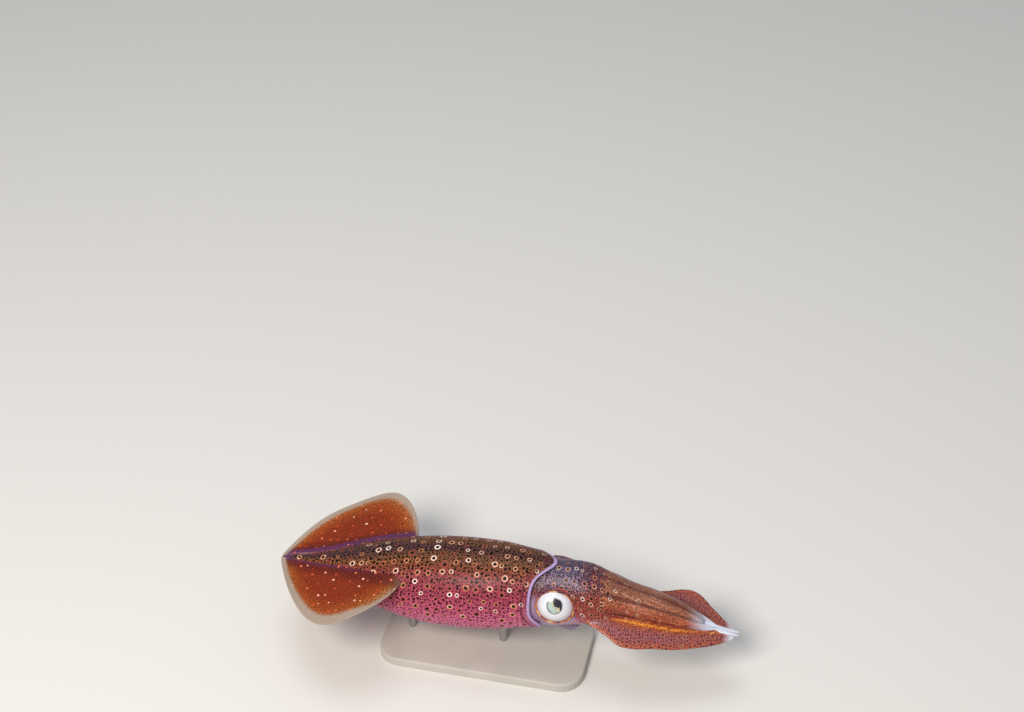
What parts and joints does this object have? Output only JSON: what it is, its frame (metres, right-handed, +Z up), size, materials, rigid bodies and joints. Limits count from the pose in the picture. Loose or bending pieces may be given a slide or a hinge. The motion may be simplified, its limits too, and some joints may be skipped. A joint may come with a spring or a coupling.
{
  "type": "market squid",
  "caption": "Still, life-size market squid, swimming level with its arms together, on a plain display stand with a flat base and short rods.",
  "frame": {"origin": "middle of the model's box from above, on the plane that the base stands on", "axes": "+X from the tail to the arms' tips, +Y to the squid's left, +Z up"},
  "size_m": [0.247, 0.099, 0.0672],
  "materials": {
    "mantle_skin": "wet skin with pigment spots ringed in gold, brown on the back, crimson on the sides, pink below",
    "fin_skin": "wet rust-orange skin with fine dark spots and a clear, cream edge",
    "head_skin": "wet purple-brown skin with pale lavender speckles",
    "arm_skin": "wet rust-crimson skin with fine spots, paler at the tips",
    "eye": "pearly silver iris with a dark pupil under a clear, wet cornea",
    "funnel_flesh": "wet, lavender-grey, half clear flesh",
    "tentacle_flesh": "wet, bluish white, half clear flesh",
    "stand_board": "matt warm grey, smooth edges",
    "stand_steel": "fine brushed stainless steel"
  },
  "bodies": {
    "root": {"mantle": "mantle_skin", "fin_left": "fin_skin", "fin_right": "fin_skin", "head": "head_skin", "eye_left": "eye", "eye_right": "eye", "funnel": "funnel_flesh", "tentacle_left_stalk": "tentacle_flesh", "tentacle_left_club": "tentacle_flesh", "tentacle_right_stalk": "tentacle_flesh", "tentacle_right_club": "tentacle_flesh", "stand_base": "stand_board", "stand_rod_rear": "stand_steel", "stand_rod_front": "stand_steel", "arm_left_1": "arm_skin", "arm_left_2": "arm_skin", "arm_left_3": "arm_skin", "arm_left_4": "arm_skin", "arm_right_1": "arm_skin", "arm_right_2": "arm_skin", "arm_right_3": "arm_skin", "arm_right_4": "arm_skin"}
  },
  "joints": []
}
